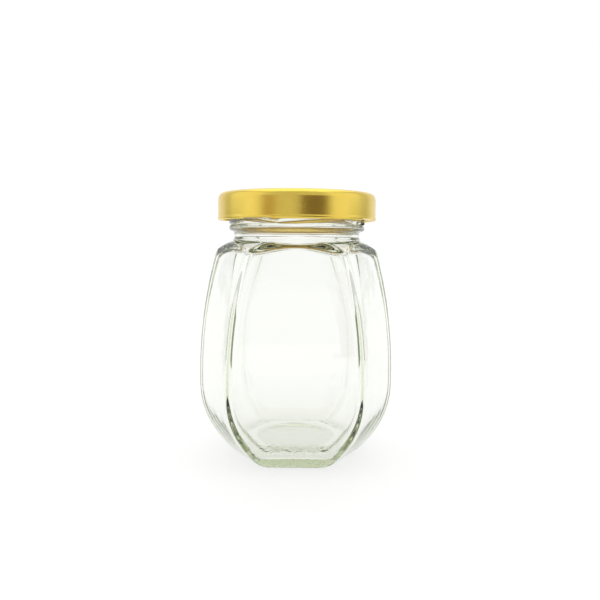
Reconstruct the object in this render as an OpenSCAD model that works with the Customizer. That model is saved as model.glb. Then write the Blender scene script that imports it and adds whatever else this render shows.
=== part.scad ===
// Six-sided barrel jar of clear glass with a screw lid of sheet metal that holds by four lugs.
// The jar stands on z = 0 with its axis on the Z axis. Its wide front face looks along -Y, and
// two of its corners lie in the plane y = 0. All sizes are in millimetres and degrees.

/* [Body] */
// Width across the two side corners, where the body is widest
belly_w = 82; // [74:0.5:100]
// Depth from the front face to the back face, where the body is widest
belly_d = 67; // [62:0.5:82]
// Height of the widest place above the table
belly_z = 33; // [26:0.5:42]
// Width across the side corners at the table
base_w = 51; // [42:0.5:62]
// Depth from the front face to the back face at the table
base_d = 44; // [38:0.5:54]
// Height of the place where the shoulder starts
shoulder_z = 85.8; // [70:0.1:105]
// Angle between a side face's normal and the X axis
side_turn = 25.5; // [22:0.5:30]
// Glass taken off each side corner to round it
corner_soft = 0.4; // [0.2:0.05:0.8]

/* [Inside of the glass] */
// Thickness of the wall where the body is widest
wall = 2.4; // [1.8:0.1:3]
// Thickness of the glass at the shoulder
shoulder_wall = 2.6; // [2:0.1:2.9]
// Height of the inner floor
floor_z = 6; // [4:0.5:9]
// Width of the inner floor across its side corners
floor_w = 48; // [36:0.5:54]
// Depth of the inner floor
floor_d = 40; // [32:0.5:46]
// Diameter of the round hollow under the base
dish_d = 32; // [20:0.5:36]
// Depth of the round hollow under the base
dish_depth = 1.2; // [0.6:0.1:2]
// Width of the sloping edge of that hollow
dish_slope = 5; // [2:0.5:8]

/* [Shoulder and neck] */
// Diameter of the bore of the mouth
bore_d = 47.4; // [44:0.1:48]
// How far the shoulder's edge stands out from the neck at the side corners
side_ledge = 7.8; // [6:0.1:11]
// How far the shoulder's edge stands out from the neck at the front and the back
front_ledge = 2.3; // [1.6:0.1:4]
// Angle of the shoulder below the level
shoulder_slope = 31; // [24:1:38]
// Radius between the body and the shoulder
shoulder_round = 3.2; // [3:0.1:4]
// Thickness of the glass of the neck under the bead
neck_wall = 2.3; // [1.8:0.1:2.8]
// Radius between the shoulder and the neck
neck_round = 1.5; // [0.8:0.1:2.5]
// Height of the neck from the shoulder to the bead
neck_len = 3; // [2:0.1:6]
// Thickness of the glass that carries the thread
finish_wall = 3.5; // [3.1:0.1:3.9]
// How far the bead stands out from the glass above it
bead_out = 1; // [0.6:0.1:1.5]
// Height of the bead
bead_h = 2.6; // [2:0.1:3.2]
// Clearance between the bead and the lid's lower edge
bead_gap = 1.7; // [0.5:0.1:5]
// Radius of both edges of the rim
rim_round = 1.1; // [0.6:0.1:1.3]

/* [Thread] */
// Number of thread ridges, each with one lug of the lid under it
starts = 4; // [3:1:4]
// Angle round the jar that one ridge takes up
thread_span = 84; // [60:1:84]
// Slope of a ridge
thread_slope = 4.6; // [3.5:0.1:5.5]
// Radius of a ridge's round section
thread_r = 0.85; // [0.6:0.05:0.9]
// How far the middle of a ridge's section stands off the glass
thread_out = 0.2; // [0:0.05:0.4]
// Angle from the front to the middle of the first ridge, to the right
thread_turn = 28; // [0:1:89]

/* [Lid] */
// Height of the lid
lid_h = 11.2; // [10.2:0.1:12]
// Thickness of the metal
sheet = 0.4; // [0.3:0.05:0.6]
// Outer radius between the top and the skirt
lid_round = 2.1; // [1.2:0.1:3]
// Radius of the roll at the skirt's lower edge
curl_r = 0.7; // [0.6:0.05:0.9]
// Depth of the sunken middle of the top
panel_depth = 0.8; // [0.4:0.1:1.4]
// Clearance between the sunken middle and the bore of the mouth
panel_gap = 0.8; // [0.4:0.1:3]
// How far a lug reaches in from the roll
lug_len = 4.5; // [3.5:0.1:6]
// Angle round the lid that one lug takes up
lug_span = 16; // [8:1:16]
// Angle from the middle of a ridge to the middle of the lug under it
lug_turn = 34; // [24:1:34]
// Clearance between a lug and the glass beside it
lug_gap = 0.4; // [0.2:0.05:0.6]
// Clearance between a lug and the ridge above it
lug_play = 0.1; // [0.05:0.01:0.3]

/* [Hidden] */
$fn = 192;

arc_steps = 8; // straight pieces in each small rounding
over = 1;      // how far a cutting shape runs past what it cuts
reach = 120;   // half the length of a shape that is cut to size by its neighbours
crease = 10;   // angle at which the shoulder's round edge crosses the body's faces

bore_r = bore_d / 2;
neck_r = bore_r + neck_wall;
finish_r = bore_r + finish_wall;
bead_r = bead_h / 2;
lid_r = finish_r + lug_gap + lug_len + curl_r;
shoulder_w = 2 * (neck_r + side_ledge);
shoulder_d = 2 * (neck_r + front_ledge);

// Length to the nearest thousandth of a millimetre, so that arcs meet without a step
function tidy(length) = round(length * 1000) / 1000;
// Radius of an arc that starts upright and has moved inwards by drop at the height rise
function arc_r(drop, rise) = tidy((drop * drop + rise * rise) / (2 * drop));
function polar(r, angle) = [r * cos(angle), r * sin(angle)];
// Points along an arc round mid, from the angle start to the angle end
function arc_points(mid, r, start, end) =
    [for (i = [0 : arc_steps]) mid + polar(r, start + (end - start) * i / arc_steps)];

// The shoulder's round edge has its middle on the normal of the body's upper arc
lean = asin((shoulder_z - belly_z) / arc_r((belly_w - shoulder_w) / 2, shoulder_z - belly_z));
round_mid = [shoulder_w / 2, shoulder_z] - polar(shoulder_round, lean);
// Height at which the shoulder's cone has come in to the radius r, when its edge has the radius edge_r
function cone_z(edge_r, r) =
    let (edge = round_mid + polar(edge_r, 90 - shoulder_slope))
    edge.y + (edge.x - r) * tan(shoulder_slope);

// Heights from the table up: each piece of the neck stands on the one below
neck_z = cone_z(shoulder_round, neck_r);
bead_z = neck_z + neck_len + bead_r;
lid_low = bead_z + bead_r + bead_gap;
lid_top = lid_low + lid_h;
rim_z = lid_top - sheet;

// A ridge lies just above its lug, at the lower end of the lug
thread_path = finish_r + thread_out;
lug_end = lug_turn - lug_span / 2;
ridge_z = lid_low + sheet + lug_play + thread_r - thread_path * sin(lug_end) * sin(thread_slope);

// Angle from X of the normal of the corner between the front face and a side face
corner_turn = (90 + side_turn) / 2;
// How far that corner reaches along its normal, from the half width and the half depth
function corner_reach(half) =
    half.x * cos(corner_turn) + half.y * (sin(corner_turn) - tan(side_turn) * cos(corner_turn));

// Part of a barrel's outline between the heights low and high. Both of its sides are arcs that
// are upright at the belly and have come in to the half width end at the height end_z.
module bulge(belly, end, end_z, low, high) {
    r = arc_r(belly - end, abs(end_z - belly_z));
    core = max(belly - r, end / 2);
    for (side = [0, 1])
        mirror([side, 0])
            intersection() {
                translate([belly - r, belly_z]) circle(r, $fn = 256);
                translate([0, low]) square([reach, high - low]);
            }
    translate([-core, low]) square([2 * core, high - low]);
}

// Two opposite faces with their normals at the angle turn from X. half_sizes are their distances
// from the axis at the foot, the belly and the shoulder.
module face_pair(turn, half_sizes, foot_z) {
    belly = tidy(half_sizes[1]);
    rotate([90, 0, turn])
        linear_extrude(height = 2 * reach, center = true) {
            bulge(belly, half_sizes[0], foot_z, foot_z, belly_z);
            bulge(belly, half_sizes[2], shoulder_z, belly_z, neck_z + 2 * over);
        }
}

// Barrel with six faces. halves are [half width across the side corners, half depth] at the foot,
// the belly and the shoulder.
module six_sided_barrel(halves, foot_z) {
    intersection() {
        face_pair(90, [for (half = halves) half.y], foot_z);
        face_pair(side_turn, [for (half = halves) half.x * cos(side_turn)], foot_z);
        face_pair(-side_turn, [for (half = halves) half.x * cos(side_turn)], foot_z);
    }
}

// Everything under the shoulder's cone and its round edge, and inside the radius r above them
module below_shoulder(edge_r, r) {
    start = lean + crease;
    side = round_mid + polar(edge_r, start);
    rotate_extrude()
        polygon(concat(
            [[0, -over], [side.x + (side.y + over) * tan(start), -over]],
            arc_points(round_mid, edge_r, start, 90 - shoulder_slope),
            [[r, cone_z(edge_r, r)], [r, neck_z + over], [0, neck_z + over]]
        ));
}

module body_outside() {
    halves = [
        [base_w / 2 + corner_soft, base_d / 2],
        [belly_w / 2 + corner_soft, belly_d / 2],
        [shoulder_w / 2 + corner_soft, shoulder_d / 2]
    ];
    corners = [for (half = halves) corner_reach(half) - corner_soft];
    intersection() {
        six_sided_barrel(halves, 0);
        // Narrow faces take the sharp line off the six corners
        face_pair(0, [for (half = halves) half.x - corner_soft], 0);
        face_pair(corner_turn, corners, 0);
        face_pair(-corner_turn, corners, 0);
        below_shoulder(shoulder_round, neck_r);
    }
}

module body_inside() {
    halves = [
        [floor_w, floor_d] / 2,
        [belly_w, belly_d] / 2 - [wall, wall],
        [shoulder_w, shoulder_d] / 2 - [shoulder_wall, shoulder_wall]
    ];
    intersection() {
        six_sided_barrel(halves, floor_z);
        below_shoulder(shoulder_round - shoulder_wall, bore_r);
    }
    translate([0, 0, belly_z]) cylinder(r = bore_r, h = neck_z + over - belly_z);
}

// Neck, bead and the straight glass that carries the thread and ends in the rim
module neck_and_rim() {
    fillet_mid = [neck_r + neck_round, neck_z + neck_round * tan((90 - shoulder_slope) / 2)];
    fillet = arc_points(fillet_mid, neck_round, 270 - shoulder_slope, 180);
    bead_mid = [finish_r + bead_out - bead_r, bead_z];
    bead_start = -acos((neck_r - bead_mid.x) / bead_r);
    bead_end = acos((finish_r - bead_mid.x) / bead_r);
    rim_low = rim_z - rim_round;
    rotate_extrude()
        polygon(concat(
            [[bore_r, neck_z - over], [fillet[0].x, neck_z - over]],
            fillet,
            arc_points(bead_mid, bead_r, bead_start, bead_end),
            arc_points([finish_r - rim_round, rim_low], rim_round, 0, 90),
            arc_points([bore_r + rim_round, rim_low], rim_round, 90, 180)
        ));
}

// One ridge of the thread, with its middle on the X axis. It rises to the right.
module ridge() {
    rotate([thread_slope, 0, 0])
        rotate([0, 0, -thread_span / 2])
            rotate_extrude(angle = thread_span)
                translate([thread_path, 0]) circle(thread_r, $fn = 48);
}

// Shallow round hollow with a sloping edge that leaves a ring of glass to stand on
module dish() {
    r = dish_d / 2;
    rotate_extrude()
        polygon([[0, -over], [r, -over], [r, 0], [r - dish_slope, dish_depth], [0, dish_depth]]);
}

// Puts a child that is centred on the X axis at each start. turn is counted from the front to the right.
module at_starts(turn) {
    for (i = [0 : starts - 1])
        rotate([0, 0, turn - 90 + i * 360 / starts]) children();
}

module jar() {
    color([0.84, 0.9, 0.84])
        difference() {
            union() {
                difference() {
                    body_outside();
                    body_inside();
                }
                neck_and_rim();
                at_starts(thread_turn) translate([0, 0, ridge_z]) ridge();
            }
            dish();
        }
}

// Outline of the lid as if it were solid above the level low, with inset taken off it
module lid_outline(inset, low) {
    r = lid_r - inset;
    top = lid_top - inset;
    corner = lid_round - inset;
    sink_r = bore_r - panel_gap - (sheet - inset) * tan(45 / 2);
    difference() {
        union() {
            translate([0, low]) square([r, top - corner - low]);
            translate([0, low]) square([r - corner, top - low]);
            translate([r - corner, top - corner]) circle(corner);
        }
        polygon([
            [-over, top + over], [sink_r + over, top + over],
            [sink_r - panel_depth, top - panel_depth], [-over, top - panel_depth]
        ]);
    }
}

module lug() {
    rotate([0, 0, -lug_span / 2])
        rotate_extrude(angle = lug_span)
            translate([finish_r + lug_gap, lid_low]) square([lug_len, sheet]);
}

module lid() {
    color([0.85, 0.7, 0.3]) {
        rotate_extrude() {
            difference() {
                lid_outline(0, lid_low + curl_r);
                lid_outline(sheet, lid_low);
            }
            translate([lid_r - curl_r, lid_low + curl_r]) circle(curl_r, $fn = 48);
        }
        at_starts(thread_turn + lug_turn) lug();
    }
}

jar();
lid();
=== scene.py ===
# %% [markdown]
# # A six-sided glass jar with a gold lid
#
# This lesson builds a small barrel-shaped jar of clear glass and the sheet-metal lid that screws
# onto it. Both are *shells made of rings*: a ring of points is copied again and again, and each
# copy is placed by a short formula. You will see
#
# * how one formula can turn a hexagon at the belly into a circle at the neck,
# * how to keep glass believable: a closed wall, a real thickness and a pale colour in its depth,
# * how a studio of white and dark cards draws the edges of something you can see through.
#
# Sizes in the formulas are in millimetres, because that is how jars are measured. They turn into
# Blender's metres in one place only.

import math

import bmesh
import bpy
import numpy as np
from mathutils import Matrix, Vector


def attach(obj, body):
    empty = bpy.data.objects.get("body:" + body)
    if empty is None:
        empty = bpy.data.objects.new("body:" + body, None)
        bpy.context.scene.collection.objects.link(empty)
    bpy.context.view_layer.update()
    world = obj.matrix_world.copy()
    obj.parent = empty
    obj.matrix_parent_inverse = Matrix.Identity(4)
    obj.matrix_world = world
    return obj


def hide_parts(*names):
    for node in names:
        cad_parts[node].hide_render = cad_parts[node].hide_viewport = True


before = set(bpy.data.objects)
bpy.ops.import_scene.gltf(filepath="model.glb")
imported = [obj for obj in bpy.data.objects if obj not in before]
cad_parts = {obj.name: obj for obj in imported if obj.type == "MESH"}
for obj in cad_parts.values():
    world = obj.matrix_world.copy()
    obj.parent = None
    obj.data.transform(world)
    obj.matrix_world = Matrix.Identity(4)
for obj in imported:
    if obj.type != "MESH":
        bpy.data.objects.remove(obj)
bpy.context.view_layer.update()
MM = 0.001
print("nodes:", sorted(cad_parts))

# %% [markdown]
# ## The sizes we share with the CAD model
#
# The loaded frame is the measured model. Our jar stands in the same place, so its main heights
# come from the same numbers. The jar swells out to a belly 33 mm above the table and comes in
# again to a sloping shoulder, a short neck, a bead, and the glass that carries the thread.

# %% Sizes
BELLY_Z, SHOULDER_Z, FLOOR_Z = 33.0, 85.8, 6.0
SLOPE = math.tan(math.radians(31))  # of the shoulder
NECK_R, NECK_Z = 26.0, 91.51  # where the shoulder's cone meets the neck
INNER_CONE_Z = 87.7  # where the cone inside the glass is as narrow as the neck is outside
BEAD_Z, BEAD_R, BEAD_OUT = 95.81, 1.3, 28.2
FINISH_R, BORE_R, RIM_Z, RIM_ROUND = 27.2, 23.7, 109.611, 1.1  # of the glass with the thread
FOOT_R = 16.6  # where the hollow under the base ends and the glass stands on the table
LID_R, LID_TOP, LID_LOW, SHEET = 32.8, 110.011, 98.811, 0.4
SEGMENTS = 320  # points in each ring
print(f"the neck is {2 * NECK_R:.1f} mm across and the rim is at {RIM_Z:.1f} mm")

# %% [markdown]
# ## One formula for the body
#
# At any height the body is a hexagon with a half width to its side corners, a half width to the
# corners of its front face, and a half depth to that face. Each of the three grows from the foot
# to the belly and shrinks again to the shoulder along a smooth power curve.

# %% How the three half sizes change with height
def swell(z, foot, belly, top, foot_z=0.0, low=2.58, high=2.05):
    """Half size at the height z: upright at the belly, falling off with one power each way."""
    if z < BELLY_Z:
        return belly - (belly - foot) * ((BELLY_Z - z) / (BELLY_Z - foot_z)) ** low
    return belly - (belly - top) * ((z - BELLY_Z) / (SHOULDER_Z - BELLY_Z)) ** high


def outer_halves(z):
    side = swell(z, 25.5, 41.0, 33.8)
    corner = swell(z, 12.2, 26.1, 19.3, low=2.1, high=2.2)
    face = swell(z, 22.0, 33.5, 28.3)
    return side, corner, face


def inner_halves(z):
    side = swell(z, 24.0, 38.6, 31.2, foot_z=FLOOR_Z)
    corner = swell(z, 15.0, 24.2, 17.6, foot_z=FLOOR_Z, low=2.1, high=2.2)
    face = swell(z, 20.0, 31.1, 25.7, foot_z=FLOOR_Z)
    return side, corner, face


for z in (0, 15, 33, 60, 85):
    print(z, "mm up:", [round(half, 1) for half in outer_halves(z)])

# %% [markdown]
# A point on the body in the direction `angle` lies on the nearest of seven surfaces: six flat
# faces and the shoulder's cone. Taking the exact minimum would give knife edges. The *soft
# minimum* below adds the inverse distances raised to a high power instead, which rounds every
# edge as cooling glass does. The higher the power, the sharper the edge. The inside of a blown
# jar is rounder than its mould, most of all near the base and the shoulder, so its power drops
# there and leaves thick glass in the corners.

# %% A soft hexagon inside a cone
def soft_section(angles, halves, cone, power, cone_power):
    """Radius at each angle of six faces with soft corners, under a round limit with a soft edge."""
    side, corner, face = halves
    side = side * 2 ** (1 / power)  # the soft corner then just reaches the wanted width
    turn = math.atan2(side - corner, face)
    slant = side * math.cos(turn)
    total = np.zeros(len(angles))
    for normal, distance in ((math.pi / 2, face), (turn, slant), (-turn, slant)):
        total += (np.abs(np.cos(angles - normal)) / distance) ** power
    hexagon = total ** (-1 / power)
    return (hexagon ** -cone_power + cone ** -cone_power) ** (-1 / cone_power)


def ease(value, start, end):
    """0 at start, 1 at end, smooth between."""
    t = min(max((value - start) / (end - start), 0), 1)
    return t * t * (3 - 2 * t)


def outside(angles, z):
    cone = NECK_R + (NECK_Z - z) / SLOPE
    return soft_section(angles, outer_halves(z), cone, 60 - 34 * ease(z, 9, 0), 64.0)


def inside(angles, z):
    cone = NECK_R + (INNER_CONE_Z - z) / SLOPE
    power = 30 - 18 * ease(z, 60, 84) - 14 * ease(z, 24, 9)
    return soft_section(angles, inner_halves(z), cone, power, 44.0)


probe = np.radians([0, 45, 90])
print("belly radius at the corner, slant and front:", outside(probe, BELLY_Z).round(2))
print("wall there:", (outside(probe, BELLY_Z) - inside(probe, BELLY_Z)).round(2), "mm")

# %% [markdown]
# ## Points where they are needed
#
# A ring with evenly spread points would put only a few of them on each soft corner. This cell
# moves points towards the six corners, so that the corners are smooth without a heavier mesh.

# %% The directions of the points in each ring
CORNERS = np.radians([0, 54.5, 125.5, 180, 234.5, 305.5, 360])
CROWD, CROWD_WIDTH = 2.2, math.radians(5)


def crowded_angles(count):
    """Directions that are over three times as close at a corner as on a face."""
    fine = np.linspace(0, 2 * np.pi, 7201)
    density = np.ones_like(fine)
    for corner in CORNERS:
        density += CROWD * np.exp(-(((fine - corner) / CROWD_WIDTH) ** 2))
    travelled = np.concatenate([[0], np.cumsum((density[1:] + density[:-1]) / 2)])
    return np.interp(np.arange(count) / count * travelled[-1], travelled, fine)


ANGLES = crowded_angles(SEGMENTS)
EVEN = np.arange(SEGMENTS) * 2 * np.pi / SEGMENTS
print("steps from", round(math.degrees(np.diff(ANGLES).min()), 2), "to",
      round(math.degrees(np.diff(ANGLES).max()), 2), "degrees")

# %% [markdown]
# ## A shell from rings
#
# `shell` makes one circle, then asks bmesh to extrude its edge loop once for each ring and moves
# the new points where the ring says. A ring is a pair: the radius and the height of every point.
# The two ends are filled, so the result is one closed skin, which glass needs.

# %% The shell builder
def show(name, data):
    """Put a mesh, a light or a camera into the scene as an object."""
    made = bpy.data.objects.new(name, data)
    bpy.context.scene.collection.objects.link(made)
    return made


def mesh_data(name, mesh, smooth=True):
    """Turn the working mesh into lasting mesh data."""
    data = bpy.data.meshes.new(name)
    mesh.to_mesh(data)
    mesh.free()
    data.polygons.foreach_set("use_smooth", [smooth] * len(data.polygons))
    return data


def loop_edges(mesh, points):
    return [mesh.edges.get(pair) for pair in zip(points, points[1:] + points[:1])]


def shell(name, rings, angles):
    """One closed skin through all the rings, with both ends filled."""
    mesh = bmesh.new()
    points = bmesh.ops.create_circle(mesh, segments=len(angles), radius=1.0)["verts"]
    points.sort(key=lambda v: math.atan2(v.co.y, v.co.x) % (2 * math.pi - 1e-6))
    across, along = np.cos(angles), np.sin(angles)

    def place(loop, ring):
        radius, height = (np.broadcast_to(value, angles.shape) for value in ring)
        for v, x, y, z in zip(loop, radius * across, radius * along, height):
            v.co = (x * MM, y * MM, z * MM)

    place(points, rings[0])
    bmesh.ops.contextual_create(mesh, geom=[e for e in mesh.edges])
    for ring in rings[1:]:
        made = bmesh.ops.extrude_edge_only(mesh, edges=loop_edges(mesh, points))["geom"]
        fresh = {v for v in made if isinstance(v, bmesh.types.BMVert)}
        points = [
            next(e.other_vert(v) for e in v.link_edges if e.other_vert(v) in fresh) for v in points
        ]
        place(points, ring)
    bmesh.ops.contextual_create(mesh, geom=loop_edges(mesh, points))
    bmesh.ops.recalc_face_normals(mesh, faces=mesh.faces)
    volume = mesh.calc_volume() / MM ** 3 / 1000
    print(name, "volume", round(volume, 2), "cm3,", len(mesh.faces), "faces")
    return show(name, mesh_data(name, mesh))


def bend(start, middle, end, steps):
    """Rings along a smooth bend between two rings, pulled towards the middle one."""
    return [
        tuple(
            (1 - t) ** 2 * a + 2 * t * (1 - t) * b + t * t * c
            for a, b, c in zip(start, middle, end)
        )
        for t in np.linspace(0, 1, steps + 1)
    ]


def turned(centre, radius, start, end, steps):
    """Rings along an arc in the plane of radius and height, between two angles in degrees."""
    return [
        (centre[0] + radius * math.cos(a), centre[1] + radius * math.sin(a))
        for a in np.radians(np.linspace(start, end, steps + 1))
    ]


print("a bend of two steps:", bend((0, 0), (1, 0), (1, 1), 2))

# %% [markdown]
# ## The thread
#
# Four short ridges wind round the mouth, and each catches one lug of the lid. A ridge is a soft
# round bump whose middle climbs 4.6 degrees as it goes round, with blunt rounded ends.

# %% How far the thread stands out
THREAD_Z, THREAD_SPAN, THREAD_TURN, CLIMB = 99.22, 84.0, 28.0, math.tan(math.radians(4.6))
RIDGE_OUT, RIDGE_END = 1.05, 1.2  # a ridge's height, and the length of its rounded end
STARTS = 4


def away_from(angles, degrees):
    """Signed angle from a direction in degrees, the short way round."""
    return (angles - math.radians(degrees) + np.pi) % (2 * np.pi) - np.pi


def thread(angles, z):
    """How far the ridges stand off the glass at the height z."""
    straight = math.radians(THREAD_SPAN / 2) * FINISH_R - RIDGE_END
    height = np.zeros(len(angles))
    for start in range(STARTS):
        travelled = away_from(angles, THREAD_TURN - 90 + 90 * start) * FINISH_R
        across = z - THREAD_Z - travelled * CLIMB
        past_end = np.maximum(np.abs(travelled) - straight, 0) / RIDGE_END
        bulge = RIDGE_OUT * np.sqrt(np.clip(1 - across ** 2 - past_end ** 2, 0, 1))
        height = np.maximum(height, bulge)
    return height


print("the thread reaches", round(FINISH_R + thread(ANGLES, THREAD_Z).max(), 2), "mm from the axis")

# %% [markdown]
# ## The rings of the jar
#
# We start under the base, in the middle of its shallow hollow, and follow the glass: out to the
# ring that stands on the table, round the heel, up the outside, over the rim, down the inside,
# and across the inner floor back to the middle.

# %% From the hollow under the base to the shoulder
a = ANGLES
rings = [(radius, 0.6) for radius in (0.6, 1.5)]
rings += bend((2.5, 0.6), (8.0, 0.58), (12.0, 0.25), 8)
rings += bend((12.6, 0.2), (14.8, 0.0), (FOOT_R, 0.0), 4)
heel = outside(a, 0)
flat_end = heel - 2.6
rings += [((FOOT_R * (1 - t) + flat_end * t), 0.0) for t in (0.3, 0.6, 0.85)]
rings += bend((flat_end, 0.0), (heel - 0.5, 0.0), (outside(a, 2.2), 2.2), 8)
rings += [(outside(a, z), z) for z in np.linspace(3.4, 83.4, 56)]
rings += [(outside(a, z), z) for z in np.linspace(83.8, 91.07, 28)]
print(len(rings), "rings up to the shoulder")

# %% Neck, bead, thread and rim
rings += turned((NECK_R + 1.5, 92.36), 1.5, 236, 180, 6)
rings += bend((NECK_R, 93.3), (NECK_R, 94.35), (27.0, 94.5), 6)
rings += turned((BEAD_OUT - BEAD_R, BEAD_Z), BEAD_R, -80, 72, 14)
thread_low, thread_high, finish_high = 97.2, 101.2, 108.3
close, wide = np.arange(thread_low, thread_high, 0.14), np.arange(thread_high, finish_high, 0.42)
rings += [(FINISH_R + thread(a, z), z) for z in np.concatenate([close, wide])]
rings += turned((FINISH_R - RIM_ROUND, RIM_Z - RIM_ROUND), RIM_ROUND, 0, 90, 6)
rings += turned((BORE_R + RIM_ROUND, RIM_Z - RIM_ROUND), RIM_ROUND, 90, 180, 6)
print(len(rings), "rings up to the rim")

# %% [markdown]
# The inner floor has a small step round it, a third of a millimetre high. It draws the faint
# six-sided outline that you see through the front of the jar.

# %% Down the inside and across the floor
rings += [(BORE_R, z) for z in (105.0, 101.0, 97.0, 94.0)]
bore_end = INNER_CONE_Z + (NECK_R - BORE_R) * SLOPE
rings += bend((BORE_R, 91.4), (BORE_R, bore_end), (inside(a, 88.6), 88.6), 7)
rings += [(inside(a, z), z) for z in np.linspace(88.3, 82.0, 22)]
rings += [(inside(a, z), z) for z in np.linspace(80.6, 10.6, 42)]
floor = inside(a, FLOOR_Z)
groove, raised = FLOOR_Z - 0.1, FLOOR_Z + 0.35
rings += bend((inside(a, 9.4), 9.4), (floor + 0.6, groove), (floor - 1.2, groove), 10)
rings += bend((floor - 1.6, groove), (floor - 1.9, groove), (floor - 2.2, FLOOR_Z + 0.1), 5)
rings += bend((floor - 2.3, FLOOR_Z + 0.15), (floor - 2.6, raised), (floor - 3.1, raised), 4)
rings += [(floor * share, raised) for share in (0.75, 0.5, 0.3, 0.12, 0.03)]
jar = shell("glass_jar", rings, ANGLES)
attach(jar, "root")
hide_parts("jar")

# %% [markdown]
# ## The lid
#
# The lid is stamped from thin sheet. Its rings run the same way: from the middle of the underside
# out to the skirt, down inside it, round the rolled lower edge, up the outside and back over the
# top. At four places the roll is pressed inwards into a lug that hooks under a ridge. `press`
# says how strongly each direction is pressed, from 0 to 1.

# %% Where the lugs are
LUG_TURN, LUG_HALF, LUG_SOFT = 34, 8.5, 5.0  # degrees: from ridge to lug, half width, flank


def press(angles):
    """How strongly the roll is pressed inwards in each direction."""
    amount = np.zeros(len(angles))
    for start in range(STARTS):
        off = np.degrees(np.abs(away_from(angles, THREAD_TURN + LUG_TURN - 90 + 90 * start)))
        rise = np.clip((LUG_HALF + LUG_SOFT - off) / LUG_SOFT, 0, 1)
        amount = np.maximum(amount, rise * rise * (3 - 2 * rise))
    return amount


lug = press(EVEN)
print("pressed share of the roll:", round(float((lug > 0.5).mean()), 3))

# %% [markdown]
# The roll's inner half moves in by 3.6 mm at a lug and flattens, while its outer half is pulled in
# and up only a little. That little dip is what catches the light along the lower edge of the lid.

# %% From the middle of the underside to the roll
under = LID_TOP - SHEET
panel_low, panel_r, rise_r = LID_TOP - 0.8, 21.6, 22.6
panel_under = panel_low - SHEET
skirt_in, skirt_out = LID_R - 0.55, LID_R - 0.18
lid_rings = [(radius, panel_under) for radius in (0.8, 6, 12, 17, panel_r - 0.6)]
lid_rings += bend(
    (panel_r - 0.2, panel_under), (panel_r + 0.5, panel_under), (rise_r - 0.2, under - 0.3), 4
)
lid_rings += bend((rise_r, under - 0.15), (rise_r + 0.3, under), (rise_r + 1.0, under), 3)
lid_rings += [(radius, under) for radius in (26.0, 28.5)]
lid_rings += bend((29.9, under), (skirt_in, under), (skirt_in, under - 2.2), 8)
lid_rings += [(skirt_in, z) for z in (106.4, 104.5, 102.5, 101.2, 100.6)]
print(len(lid_rings), "rings down to the roll")

# %% The roll and its four lugs
roll_r, pressed_in, pulled_in = 0.7, 3.6, 0.22
lifted, raised_edge = 0.75, 0.42
roll = (LID_R - roll_r, LID_LOW + roll_r)
for radius, height in turned(roll, roll_r, 112, 360, 22):
    inner = np.clip((roll[0] + 0.25 - radius) / 0.95, 0, 1)
    sink = np.clip((height - LID_LOW) / 1.4, 0, 1)
    moved = radius - lug * (pressed_in * inner + pulled_in * (1 - inner))
    flattened = height - lug * inner * sink * lifted + lug * (1 - inner) * (1 - sink) * raised_edge
    lid_rings.append((moved, flattened))
print(len(lid_rings), "rings up to the end of the roll")

# %% Up the skirt and back over the top
lid_rings += [(LID_R - lug * 0.16, 99.75), (LID_R - 0.04 - lug * 0.1, 99.98)]
lid_rings += bend(
    (LID_R - 0.1 - lug * 0.06, 100.1), (LID_R - 0.17 - lug * 0.02, 100.2), (skirt_out, 100.45), 3
)
lid_rings += [(skirt_out, z) for z in (100.7, 102.0, 103.5, 105.0, 106.3)]
lid_rings += bend((skirt_out, 107.0), (skirt_out, 107.5), (LID_R - 0.3, 107.75), 4)
lid_rings += bend((LID_R - 0.33, 107.85), (LID_R - 0.6, LID_TOP), (LID_R - 3.2, LID_TOP), 16)
lid_rings += [(radius, LID_TOP) for radius in (28.5, 27.0, 25.2)]
lid_rings += bend((24.2, LID_TOP), (23.2, LID_TOP), (22.6, LID_TOP - 0.4), 5)
lid_rings += bend((22.45, LID_TOP - 0.5), (22.1, panel_low), (21.0, panel_low), 5)
lid_rings += [(radius, panel_low) for radius in (19, 15, 10, 5, 0.8)]
lid = shell("gold_lid", lid_rings, EVEN)
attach(lid, "root")
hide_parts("lid")

# %% [markdown]
# ## Shader sums that read like sums
#
# A material is a graph of nodes, and small sums soon hide in a forest of Math nodes. The class
# below wraps an output socket, so that `a * 2 + b` adds the Math nodes for us.

# %% A small language for shader graphs
class Wire:
    """An output socket with arithmetic."""

    def __init__(self, graph, socket):
        self.graph, self.socket = graph, socket

    def _math(self, operation, *values):
        return self.graph.node("ShaderNodeMath", {"operation": operation}, dict(enumerate(values)))

    def __add__(self, other):
        return self._math("ADD", self, other)

    def __sub__(self, other):
        return self._math("SUBTRACT", self, other)

    def __rsub__(self, other):
        return self._math("SUBTRACT", other, self)

    def __mul__(self, other):
        return self._math("MULTIPLY", self, other)

    def __pow__(self, other):
        return self._math("POWER", self, other)

    __radd__, __rmul__ = __add__, __mul__

    def clamp(self):
        return self.graph.node("ShaderNodeClamp", {}, {0: self})

    def step(self, start, end):
        """0 at start, 1 at end, smooth between."""
        inputs = {0: self, 1: start, 2: end, 3: 0.0, 4: 1.0}
        return self.graph.node("ShaderNodeMapRange", {"interpolation_type": "SMOOTHSTEP"}, inputs)


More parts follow.
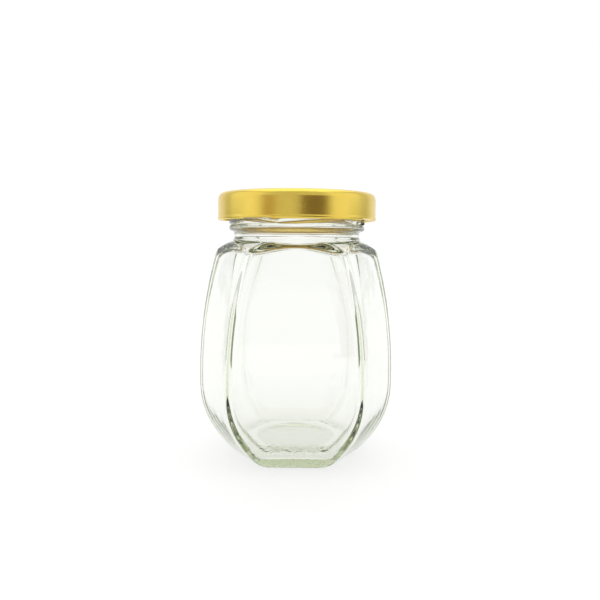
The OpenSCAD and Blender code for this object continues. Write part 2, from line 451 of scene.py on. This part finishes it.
class Graph:
    """A material's node tree."""

    def __init__(self, name):
        self.material = bpy.data.materials.new(name)
        self.material.use_nodes = True
        self.tree = self.material.node_tree
        self.shader = self.tree.nodes["Principled BSDF"]
        self.output = self.tree.nodes["Material Output"]

    def node(self, kind, settings=None, inputs=None, output=0):
        """A new node of this type, with its settings and the values of its sockets."""
        made = self.tree.nodes.new(kind)
        for key, value in (settings or {}).items():
            setattr(made, key, value)
        for key, value in (inputs or {}).items():
            self.feed(made.inputs[key], value)
        return Wire(self, made.outputs[output])

    def feed(self, socket, value):
        if isinstance(value, Wire):
            self.tree.links.new(value.socket, socket)
        else:
            socket.default_value = value

    def set(self, **values):
        for key, value in values.items():
            self.feed(self.shader.inputs[key.replace("_", " ")], value)

    def place(self):
        """Object coordinates as (vector, x, y, z), in millimetres."""
        where = self.node("ShaderNodeTexCoord", {}, {}, "Object")
        inputs = {0: where, "Scale": 1 / MM}
        scaled = self.node("ShaderNodeVectorMath", {"operation": "SCALE"}, inputs)
        parts = [self.node("ShaderNodeSeparateXYZ", {}, {0: scaled}, axis) for axis in range(3)]
        return (scaled, *parts)

    def noise(self, vector, scale, detail=2.0):
        inputs = {"Vector": vector, "Scale": scale, "Detail": detail}
        return self.node("ShaderNodeTexNoise", {}, inputs)

    def ramp(self, value, stops):
        made = self.tree.nodes.new("ShaderNodeValToRGB")
        self.feed(made.inputs[0], value)
        elements = made.color_ramp.elements
        while len(elements) < len(stops):
            elements.new(0.5)
        for element, (position, colour) in zip(elements, stops):
            element.position, element.color = position, (*colour, 1.0)
        return Wire(self, made.outputs[0])

    def bump(self, height, strength, distance):
        inputs = {"Height": height, "Strength": strength, "Distance": distance}
        return self.node("ShaderNodeBump", {}, inputs)


print("operators ready:", sorted(name for name in vars(Wire) if name.startswith("__r")))

# %% [markdown]
# ## Glass
#
# The colour of glass is in its depth, so the surface stays white and a *Volume Absorption* takes
# a little light out of each millimetre, most of it blue and least of it green. Jar glass is
# pressed in an iron mould, which leaves it very slightly wavy. The bump under the heel is the
# band of fine knurls that jars stand on, and the noise elsewhere is the waviness.

# %% The glass material
g = Graph("clear_glass")
where, x, y, z = g.place()
across = (x * x + y * y) ** 0.5
waves = g.noise(where, 0.09, 1.0) * 0.7 + g.noise(where, 0.4) * 0.04
knurls = g.node("ShaderNodeTexVoronoi", {}, {"Vector": where, "Scale": 0.7}, "Distance")
bearing = (1 - z.step(0.3, 2.6)) * across.step(16.0, 17.5)
chill = (1 - z.step(2.0, 16.0)) * across.step(17.0, 21.0)  # ripples where the mould was coldest
height = waves + bearing * knurls * 2.2 + chill * g.noise(where, 0.55) * 1.2
g.set(
    Base_Color=(1.0, 1.0, 1.0, 1.0),
    IOR=1.52,
    Transmission_Weight=1.0,
    Roughness=g.noise(where, 0.05) * 0.02 + bearing * 0.06,
    Normal=g.bump(height, 0.35, 0.0003),
)
tint = g.tree.nodes.new("ShaderNodeVolumeAbsorption")
tint.inputs["Color"].default_value = (0.58, 0.66, 0.38, 1.0)
tint.inputs["Density"].default_value = 30.0
g.tree.links.new(tint.outputs[0], g.output.inputs["Volume"])
jar.data.materials.append(g.material)
print("glass nodes:", len(g.tree.nodes))

# %% [markdown]
# ## Gold lacquer on tinplate
#
# A gold lid is tin under a thin coat of yellow lacquer. The sheet was rolled before it was
# stamped, so the metal carries very fine parallel lines, and the lacquer is a shade deeper
# wherever it ran thicker.

# %% The lid's material
g = Graph("gold_lacquer")
where, *_ = g.place()
stretched = g.node("ShaderNodeMapping", {}, {"Vector": where, "Scale": (0.25, 14.0, 14.0)})
grain = g.noise(stretched, 1.0, 3.0)
cloud = g.noise(where, 0.08)
specks = g.noise(where, 3.5)
thick = (cloud * 0.7 + grain * 0.3).clamp()
g.set(
    Base_Color=g.ramp(thick, [(0.3, (0.74, 0.53, 0.085)), (0.7, (0.80, 0.60, 0.115))]),
    Metallic=1.0,
    Roughness=0.2 + grain * 0.06 + cloud * 0.06,
    Coat_Weight=0.15,
    Coat_Roughness=0.12,
    Normal=g.bump(grain * 0.5 + specks * 0.3 + cloud * 0.8, 0.12, 0.00012),
)
lid.data.materials.append(g.material)
print("lid nodes:", len(g.tree.nodes))

# %% [markdown]
# ## The studio
#
# Clear glass shows only what it bends towards the camera. A bright sweep behind the jar gives it
# a white body, and everything dark beside and in front of it turns into the thin lines that draw
# its edges. The sweep is one strip, extruded twice and then bevelled where it turns upwards. It
# glows like the sheet of a light table, so the jar throws hardly any shadow on it.

# %% A pale sweep
def sweep():
    """A floor that turns up into a wall with a wide soft fold."""
    mesh = bmesh.new()
    start = [mesh.verts.new((side, -1.6, 0)) for side in (-1.8, 1.8)]
    edge = mesh.edges.new(start)
    for move in ((0, 2.9, 0), (0, 0.25, 2.2)):
        made = bmesh.ops.extrude_edge_only(mesh, edges=[edge])["geom"]
        fresh = [v for v in made if isinstance(v, bmesh.types.BMVert)]
        bmesh.ops.translate(mesh, verts=fresh, vec=move)
        edge = mesh.edges.get(fresh)
    fold = [e for e in mesh.edges if len(e.link_faces) == 2]
    bmesh.ops.bevel(
        mesh, geom=fold, offset=0.5, segments=14, profile=0.5, affect="EDGES", material=-1
    )
    bmesh.ops.recalc_face_normals(mesh, faces=mesh.faces)
    return show("sweep", mesh_data("sweep", mesh))


backdrop = sweep()
g = Graph("pale_paper")
where, *_ = g.place()
paper = g.noise(where, 0.3, 3.0)
g.set(
    Base_Color=g.ramp(paper, [(0.3, (0.19, 0.19, 0.19)), (0.7, (0.21, 0.21, 0.21))]),
    Roughness=0.9,
    Emission_Color=(1.0, 1.0, 1.0, 1.0),
    Emission_Strength=0.78,
    Normal=g.bump(paper, 0.05, 0.0002),
)
backdrop.data.materials.append(g.material)
print("sweep faces:", len(backdrop.data.polygons))

# %% [markdown]
# Coloured cards stand where the camera doesn't look. A dark one is in front, a little to the
# right: the round skirt of the lid mirrors it as a dark streak. A lighter brown one to the left
# gives the lid a warm stripe. Two low olive ones at the sides tint the rims of the glass.

# %% Cards
def card(name, azimuth, distance, width, height, colour):
    """A card on the floor, facing the jar. The azimuth counts from the camera, to the right."""
    mesh = bmesh.new()
    turn = math.radians(azimuth)
    centre = Vector((math.sin(turn) * distance, -math.cos(turn) * distance, height / 2))
    upright = Matrix.Rotation(turn, 4, "Z") @ Matrix.Rotation(math.radians(-90), 4, "X")
    corners = bmesh.ops.create_grid(mesh, x_segments=1, y_segments=1, size=0.5)["verts"]
    bmesh.ops.scale(mesh, vec=(width, height, 1), verts=corners)
    bmesh.ops.transform(mesh, verts=corners, matrix=Matrix.Translation(centre) @ upright)
    made = show(name, mesh_data(name, mesh, smooth=False))
    graph = Graph(name)
    graph.set(Base_Color=(*colour, 1.0), Roughness=0.9)
    made.data.materials.append(graph.material)
    return made


DARK_BROWN, WARM_BROWN, OLIVE = (0.12, 0.065, 0.04), (0.52, 0.38, 0.28), (0.21, 0.27, 0.13)
cards = [
    card("front_card", 24, 0.55, 0.38, 0.25, DARK_BROWN),
    card("brown_card", -38, 0.55, 0.16, 0.25, WARM_BROWN),
    card("left_card", -98, 0.31, 0.24, 0.10, OLIVE),
    card("right_card", 98, 0.31, 0.24, 0.10, OLIVE),
]
print([c.name for c in cards])

# %% [markdown]
# Three large soft lights and a pale room do the rest. The world's light comes from everywhere,
# so it is what the lid mirrors between the cards.

# %% Soft lights and a pale world
def softbox(name, place, aim, size, power):
    """A rectangular light at a place, turned towards what it lights."""
    data = bpy.data.lights.new(name, "AREA")
    data.shape, data.size, data.size_y, data.energy = "RECTANGLE", *size, power
    made = show(name, data)
    made.location = place
    made.rotation_euler = (Vector(aim) - Vector(place)).to_track_quat("-Z", "Y").to_euler()


softbox("overhead", (0, 0.1, 1.7), (0, 0.1, 0), (2.4, 2.4), 17.0)
softbox("left_box", (-1.3, -0.25, 0.55), (0, 0, 0.1), (1.4, 1.2), 2.2)
softbox("right_box", (1.3, -0.35, 0.55), (0, 0, 0.1), (1.4, 1.2), 2.2)
world = bpy.data.worlds.new("pale_room")
world.use_nodes = True
room = world.node_tree.nodes["Background"]
room.inputs["Color"].default_value = (1.0, 1.0, 1.0, 1.0)
room.inputs["Strength"].default_value = 0.75
bpy.context.scene.world = world

# %% [markdown]
# ## Patience with light
#
# In the thick corners of the glass, light is mirrored from side to side many times before it
# finds a way out. Blender follows a path for twelve bounces and then gives up, which leaves the
# corners black. We allow 32. The plain *Standard* view keeps white paper white.

# %% Long light paths and a plain view
scene = bpy.context.scene
scene.cycles.max_bounces = scene.cycles.transmission_bounces = 32
scene.cycles.glossy_bounces = 12
scene.view_settings.view_transform = "Standard"
print("a path may bounce", scene.cycles.max_bounces, "times")

# %% [markdown]
# ## The camera
#
# The camera stands a quarter of a metre away at the height of the shoulder and looks slightly
# down, so the lid shows as a band and the inner floor as a flat hexagon.

# %% Camera
camera_data = bpy.data.cameras.new("camera")
camera_data.sensor_width, camera_data.lens = 36.0, 36.0
camera_data.clip_start, camera_data.clip_end = 0.01, 20.0
camera = show("camera", camera_data)
tilt = Matrix.Rotation(math.radians(90 - 5.71), 4, "X") @ Matrix.Rotation(math.radians(0.5), 4, "Z")
camera.matrix_world = Matrix.Translation((0.0016, -0.253, 0.091)) @ tilt
scene.camera = camera
print("camera at", [round(v, 3) for v in camera.location])

# %% [markdown]
